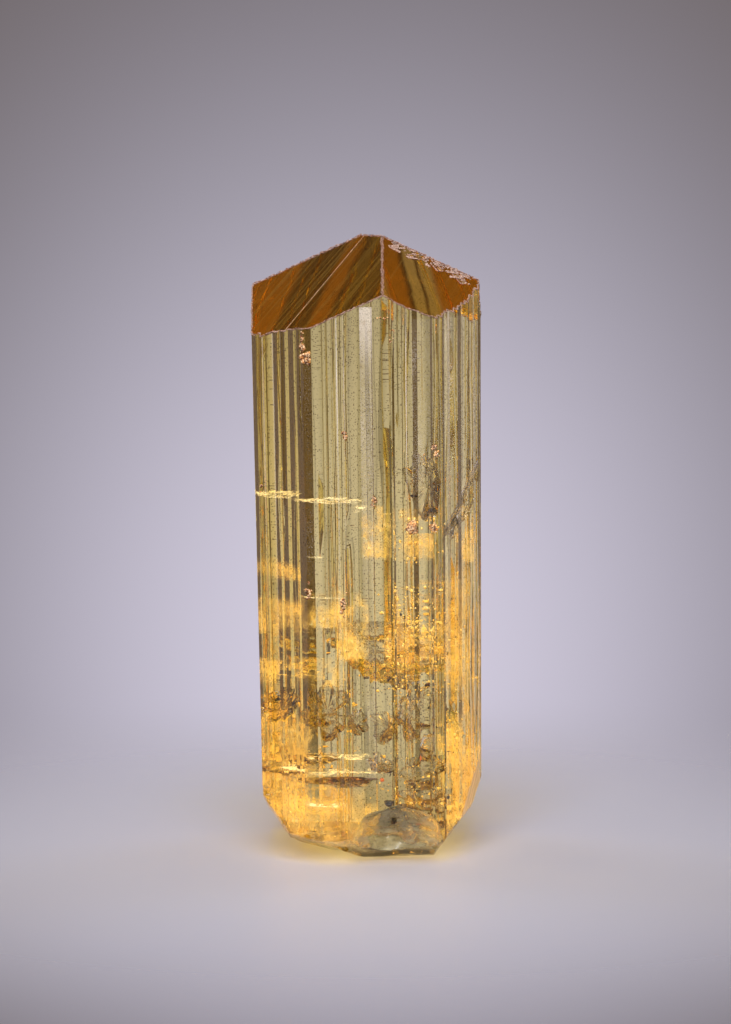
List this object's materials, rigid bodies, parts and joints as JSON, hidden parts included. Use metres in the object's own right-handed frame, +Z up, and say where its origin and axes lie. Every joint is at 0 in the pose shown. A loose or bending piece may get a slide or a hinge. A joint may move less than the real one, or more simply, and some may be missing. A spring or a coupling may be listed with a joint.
{
  "type": "scapolite crystal",
  "caption": "Single golden gem crystal, a grooved four-sided prism with a low pyramid on top, standing upright on its broken foot.",
  "frame": {"origin": "on the surface that the crystal stands on, under the middle of its box", "axes": "+Z up along the crystal's length, -Y towards the viewer of its front, +X to the viewer's right"},
  "size_m": [0.0158, 0.0152, 0.042],
  "materials": {
    "scapolite": "polished"
  },
  "bodies": {
    "root": {"crystal": "scapolite"}
  },
  "joints": []
}
